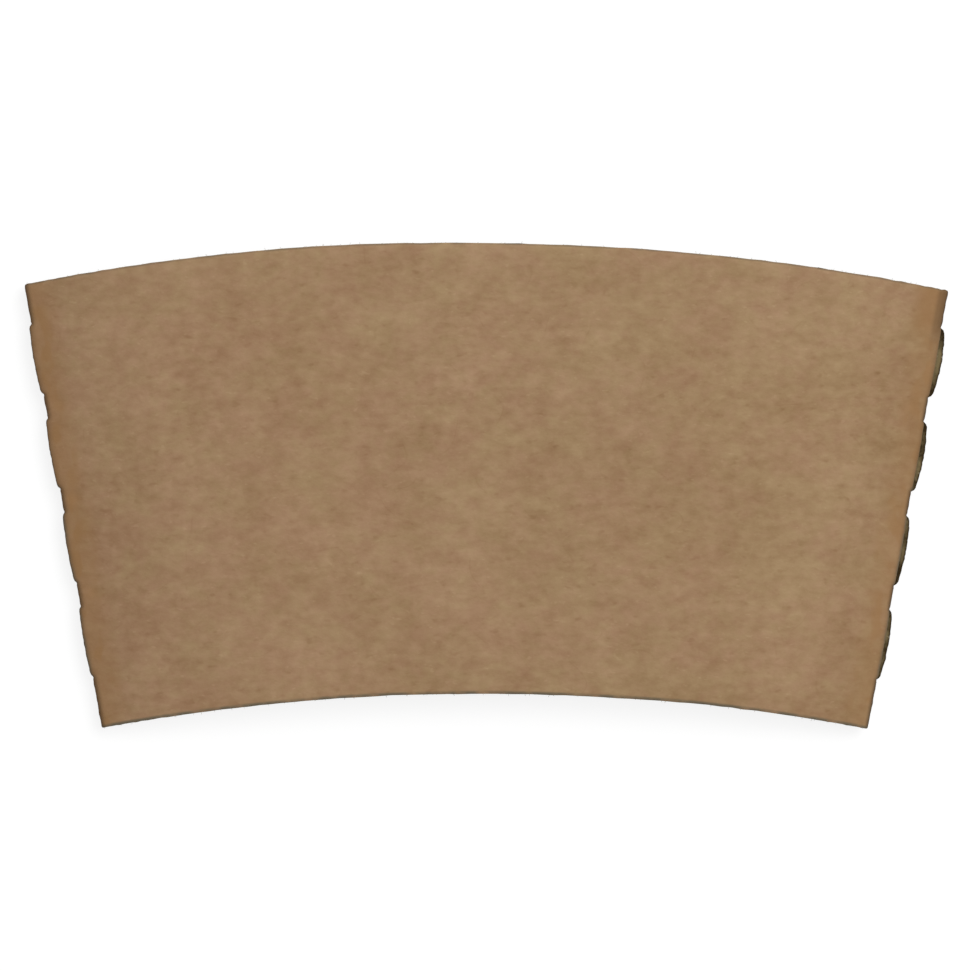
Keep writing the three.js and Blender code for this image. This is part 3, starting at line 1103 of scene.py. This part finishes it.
def fibre_tree(finish):
    tree, size = geometry_tree("cut_face_fibres", FIBRES)
    points = cut_points(tree, size)
    position = tree.node("GeometryNodeInputPosition")
    height = tree.other(tree.node("ShaderNodeSeparateXYZ", {}, [position]), "Z")
    least, most = FIBRE_SCALES
    scale = tree.node("FunctionNodeRandomValue", {}, {"Min": least, "Max": most, "Seed": size["Seed"]})
    sockets = {
        "Points": points, "Selection": height > FIBRE_CLEARANCE, "Instance": one_fibre(tree, size),
        "Rotation": tree.other(points, "Rotation"), "Scale": scale,
    }
    placed = tree.node("GeometryNodeInstanceOnPoints", {}, sockets)
    lean = (FIBRE_LEAN, FIBRE_LEAN, math.pi)
    turn = tree.node(
        "FunctionNodeRandomValue", {"data_type": "FLOAT_VECTOR"},
        {"Min": tuple(-angle for angle in lean), "Max": lean, "Seed": size["Seed"] + 1},
    )
    placed = tree.node("GeometryNodeRotateInstances", {}, {"Instances": placed, "Rotation": turn})
    placed = tree.node("GeometryNodeRealizeInstances", {}, {"Geometry": placed})
    placed = tree.node("GeometryNodeSetMaterial", {}, {"Geometry": placed, "Material": finish})
    tree.node("NodeGroupOutput", {}, [placed])
    return tree


fibres = make_plain(run_tree("torn_fibres", fibre_tree(fibre_finish()), FIBRES, sleeve.data))
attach(fibres, "root")

# %% [markdown]
# ## Floor, light and camera
#
# The sleeve lies on a pale floor under one large soft light to the right, with an even sky. Seen
# by the camera the floor reaches white by a share of its own light, and the rest of its colour
# takes the sleeve's soft shadow. The camera looks straight down, turned by a quarter of a degree.

# %% The floor
FLOOR_SIZE = 6.0
FLOOR_COLOUR = 0.2
FLOOR_GLOW = 0.84


def seen_rays(tree):
    """1 for rays that show the background: from the camera, or off gloss or through glass."""
    path = tree.node("ShaderNodeLightPath", {}, {}, "Is Camera Ray")
    seen = path.math("MAXIMUM", tree.other(path, "Is Glossy Ray"))
    return seen.math("MAXIMUM", tree.other(path, "Is Transmission Ray"))


def floor_finish():
    material, tree, shader, _ = begin_finish("pale_floor")
    shader.inputs["Base Color"].default_value = (FLOOR_COLOUR, FLOOR_COLOUR, FLOOR_COLOUR, 1)
    shader.inputs["Emission Strength"].default_value = 1.0
    tree.feed(shader.inputs["Emission Color"], seen_rays(tree) * FLOOR_GLOW)
    return material


bpy.ops.mesh.primitive_plane_add(size=FLOOR_SIZE)
floor = bpy.context.object
floor.name = "pale_floor"
floor.data.materials.append(floor_finish())
print("floor:", FLOOR_SIZE, "m wide")

# %% [markdown]
# The sky gives even light from all sides, and it is white where the camera sees it. The soft light
# stands to the right, so the left fold and the narrow edge fall into a faint shade.

# %% The sky and the soft light
SKY_SHARE = 0.4
LIGHT_GAIN = 1.085
LIGHT_SIZE = 1.0
LIGHT_DISTANCE = 1.4
LIGHT_TILT = math.radians(33)
LIGHT_TURN = math.radians(40)

world = bpy.data.worlds.new("even_sky")
bpy.context.scene.world = world
world.use_nodes = True
sky = Tree(world.node_tree)
background = world.node_tree.nodes["Background"]
background.inputs["Strength"].default_value = 1.0
sky.feed(background.inputs["Color"], seen_rays(sky) * (1 - SKY_SHARE) + SKY_SHARE)

light_data = bpy.data.lights.new("soft_light", "AREA")
light_data.size = LIGHT_SIZE
light_share = LIGHT_GAIN * (1 - SKY_SHARE)
light_data.energy = light_share * (math.pi * LIGHT_DISTANCE) ** 2 / math.cos(LIGHT_TILT)
light = bpy.data.objects.new("soft_light", light_data)
bpy.context.scene.collection.objects.link(light)
light.location = (
    LIGHT_DISTANCE * math.sin(LIGHT_TILT) * math.cos(LIGHT_TURN),
    LIGHT_DISTANCE * math.sin(LIGHT_TILT) * math.sin(LIGHT_TURN),
    LIGHT_DISTANCE * math.cos(LIGHT_TILT),
)
light.rotation_euler = (0, LIGHT_TILT, LIGHT_TURN)
print("light:", round(light_data.energy, 2), "W at", tuple(round(c, 2) for c in light.location))

# %% [markdown]
# The camera stands so high that the sleeve shows almost no perspective, and its lens is worked out
# from the width that the picture has to show at the height of the folds.

# %% The camera
FRAME_WIDTH = 128.92 * MM
FOLD_HEIGHT = 2.15 * MM
CAMERA_HEIGHT = 1.3
CAMERA_TURN = math.radians(0.22)
CAMERA_SHIFT = 0.08 * MM

camera_data = bpy.data.cameras.new("camera")
camera = bpy.data.objects.new("camera", camera_data)
bpy.context.scene.collection.objects.link(camera)
bpy.context.scene.camera = camera
camera.location = (-CAMERA_SHIFT, 0, CAMERA_HEIGHT)
camera.rotation_euler = (0, 0, CAMERA_TURN)
camera_data.sensor_fit = "HORIZONTAL"
camera_data.lens = camera_data.sensor_width * (CAMERA_HEIGHT - FOLD_HEIGHT) / FRAME_WIDTH
bpy.context.scene.view_settings.view_transform = "Standard"
print("lens:", round(camera_data.lens, 1), "mm")

# %% [markdown]
# ## The end
